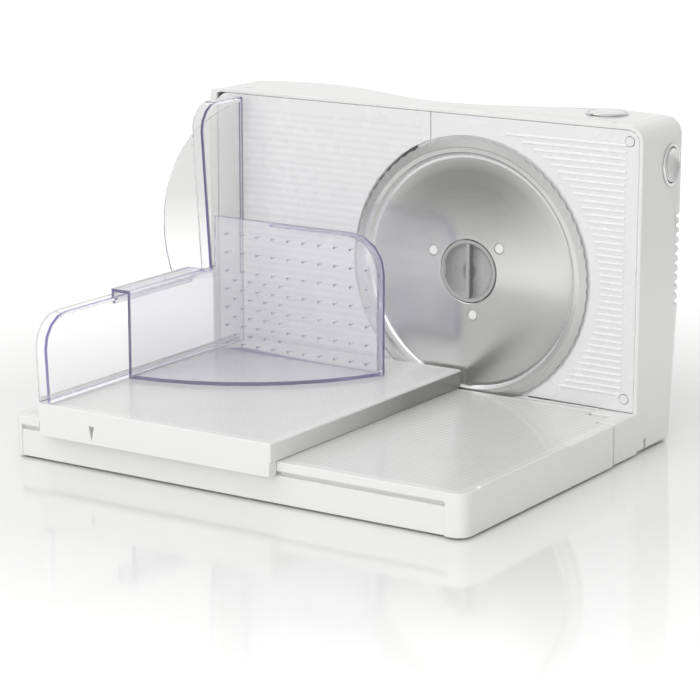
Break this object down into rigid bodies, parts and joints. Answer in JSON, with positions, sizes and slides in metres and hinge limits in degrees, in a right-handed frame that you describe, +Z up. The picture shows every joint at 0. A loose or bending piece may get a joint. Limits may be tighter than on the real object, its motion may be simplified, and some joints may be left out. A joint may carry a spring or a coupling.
{
  "type": "food slicer",
  "caption": "Folding electric food slicer with a round blade, gauge plate, sliding carriage, clear back stop, spiked food holder and a base that folds up.",
  "frame": {"origin": "middle of the bounding box in plan, on the table under the feet", "axes": "+X to the right along the carriage's travel, seen from the front; -Y towards the user; +Z up"},
  "size_m": [0.3524, 0.3002, 0.2074],
  "materials": {
    "housing_white_plastic": "glossy white",
    "fixed_panel_panel_plastic": "satin white",
    "screw_cap_bottom_panel_plastic": "satin white",
    "screw_cap_top_panel_plastic": "satin white",
    "panel_screw_bottom_plain_steel": "plain",
    "panel_screw_top_plain_steel": "plain",
    "motor_plain_steel": "plain",
    "motor_cradle_black_plastic": "matt black",
    "worm_bearing_brass": "plain",
    "blade_axle_plain_steel": "plain",
    "hinge_pin_right_plain_steel": "plain",
    "hinge_pin_left_plain_steel": "plain",
    "guide_rod_top_plain_steel": "plain",
    "guide_rod_bottom_plain_steel": "plain",
    "power_switch_black_plastic": "matt black",
    "safety_switch_black_plastic": "matt black",
    "power_spring_plain_steel": "plain",
    "power_ring_chrome": "polished",
    "safety_ring_chrome": "polished",
    "cord_inlet_rubber": "matt",
    "foot_ear_right_rubber": "matt",
    "foot_ear_left_rubber": "matt",
    "foot_back_right_rubber": "matt",
    "foot_back_left_rubber": "matt",
    "gauge_plate_panel_plastic": "satin white",
    "gauge_carrier_gear_plastic": "matt off-white",
    "thickness_dial_white_plastic": "glossy white",
    "dial_spindle_gear_plastic": "matt off-white",
    "blade_blade_steel": "turned and ground",
    "drive_gear_gear_plastic": "matt off-white",
    "blade_lock_knob_grey_plastic": "satin grey",
    "worm_shaft_plain_steel": "plain",
    "motor_fan_black_plastic": "matt black",
    "base_plate_white_plastic": "glossy white",
    "foot_front_right_rubber": "matt",
    "foot_front_left_rubber": "matt",
    "foot_rear_right_rubber": "matt",
    "foot_rear_left_rubber": "matt",
    "carriage_runner_grey_plastic": "satin grey",
    "carriage_plate_white_plastic": "glossy white",
    "back_stop_clear_plastic": "clear, polished",
    "thumb_guard_clear_plastic": "clear, polished",
    "food_holder_clear_plastic": "clear, polished",
    "power_button_white_plastic": "glossy white",
    "safety_button_chrome": "polished"
  },
  "bodies": {
    "housing": {"housing": "housing_white_plastic", "fixed_panel": "fixed_panel_panel_plastic", "screw_cap_bottom": "screw_cap_bottom_panel_plastic", "screw_cap_top": "screw_cap_top_panel_plastic", "panel_screw_bottom": "panel_screw_bottom_plain_steel", "panel_screw_top": "panel_screw_top_plain_steel", "motor": "motor_plain_steel", "motor_cradle": "motor_cradle_black_plastic", "worm_bearing": "worm_bearing_brass", "blade_axle": "blade_axle_plain_steel", "hinge_pin_right": "hinge_pin_right_plain_steel", "hinge_pin_left": "hinge_pin_left_plain_steel", "guide_rod_top": "guide_rod_top_plain_steel", "guide_rod_bottom": "guide_rod_bottom_plain_steel", "power_switch": "power_switch_black_plastic", "safety_switch": "safety_switch_black_plastic", "power_spring": "power_spring_plain_steel", "power_ring": "power_ring_chrome", "safety_ring": "safety_ring_chrome", "cord_inlet": "cord_inlet_rubber", "foot_ear_right": "foot_ear_right_rubber", "foot_ear_left": "foot_ear_left_rubber", "foot_back_right": "foot_back_right_rubber", "foot_back_left": "foot_back_left_rubber"},
    "gauge": {"gauge_plate": "gauge_plate_panel_plastic", "gauge_carrier": "gauge_carrier_gear_plastic"},
    "dial": {"thickness_dial": "thickness_dial_white_plastic", "dial_spindle": "dial_spindle_gear_plastic"},
    "blade": {"blade": "blade_blade_steel", "drive_gear": "drive_gear_gear_plastic"},
    "lock_knob": {"blade_lock_knob": "blade_lock_knob_grey_plastic"},
    "rotor": {"worm_shaft": "worm_shaft_plain_steel", "motor_fan": "motor_fan_black_plastic"},
    "base": {"base_plate": "base_plate_white_plastic", "foot_front_right": "foot_front_right_rubber", "foot_front_left": "foot_front_left_rubber", "foot_rear_right": "foot_rear_right_rubber", "foot_rear_left": "foot_rear_left_rubber"},
    "runner": {"carriage_runner": "carriage_runner_grey_plastic"},
    "carriage": {"carriage_plate": "carriage_plate_white_plastic", "back_stop": "back_stop_clear_plastic", "thumb_guard": "thumb_guard_clear_plastic"},
    "holder": {"food_holder": "food_holder_clear_plastic"},
    "power_button": {"power_button": "power_button_white_plastic"},
    "safety_button": {"safety_button": "safety_button_chrome"}
  },
  "joints": [
    {"name": "blade_spin", "type": "hinge", "parent": "housing", "child": "blade", "pos_m": [0.05475, 0.06588, 0.1035], "axis": [0, 1, 0], "continuous": true},
    {"name": "rotor_spin", "type": "hinge", "parent": "housing", "child": "rotor", "pos_m": [0.08455, 0.09238, 0], "axis": [0, 0, 1], "continuous": true},
    {"name": "knob_turn", "type": "hinge", "parent": "blade", "child": "lock_knob", "pos_m": [0.05475, 0.06588, 0.1035], "axis": [0, 1, 0], "range_deg": [0, 90]},
    {"name": "dial_turn", "type": "hinge", "parent": "housing", "child": "dial", "pos_m": [-0.09325, 0.06588, 0.11], "axis": [0, 1, 0], "range_deg": [0, 300]},
    {"name": "gauge_slide", "type": "slide", "parent": "housing", "child": "gauge", "axis": [0, 1, 0], "range_m": [0, 0.015]},
    {"name": "base_fold", "type": "hinge", "parent": "housing", "child": "base", "pos_m": [0.05475, 0.04788, 0.0207], "axis": [-1, 0, 0], "range_deg": [0, 90]},
    {"name": "carriage_slide", "type": "slide", "parent": "base", "child": "runner", "axis": [1, 0, 0], "range_m": [-0.015, 0.145]},
    {"name": "carriage_lift_off", "type": "slide", "parent": "runner", "child": "carriage", "axis": [0, -1, 0], "range_m": [0, 0.3]},
    {"name": "holder_slide", "type": "slide", "parent": "carriage", "child": "holder", "axis": [0, -1, 0], "range_m": [0, 0.07]},
    {"name": "power_press", "type": "slide", "parent": "housing", "child": "power_button", "axis": [0, 0, -1], "range_m": [0, 0.0025], "stiffness_N_per_m": 800, "deforming": ["power_spring"]},
    {"name": "safety_press", "type": "slide", "parent": "housing", "child": "safety_button", "axis": [-1, 0, 0], "range_m": [0, 0.0035], "stiffness_N_per_m": 600}
  ],
  "couplings": [
    {"joint": "rotor_spin", "follows": "blade_spin", "ratio": 24},
    {"joint": "dial_turn", "follows": "gauge_slide", "rad_per_m": 349.07},
    {"joint": "carriage_lift_off", "follows": "base_fold", "m_per_rad": 0.19}
  ]
}
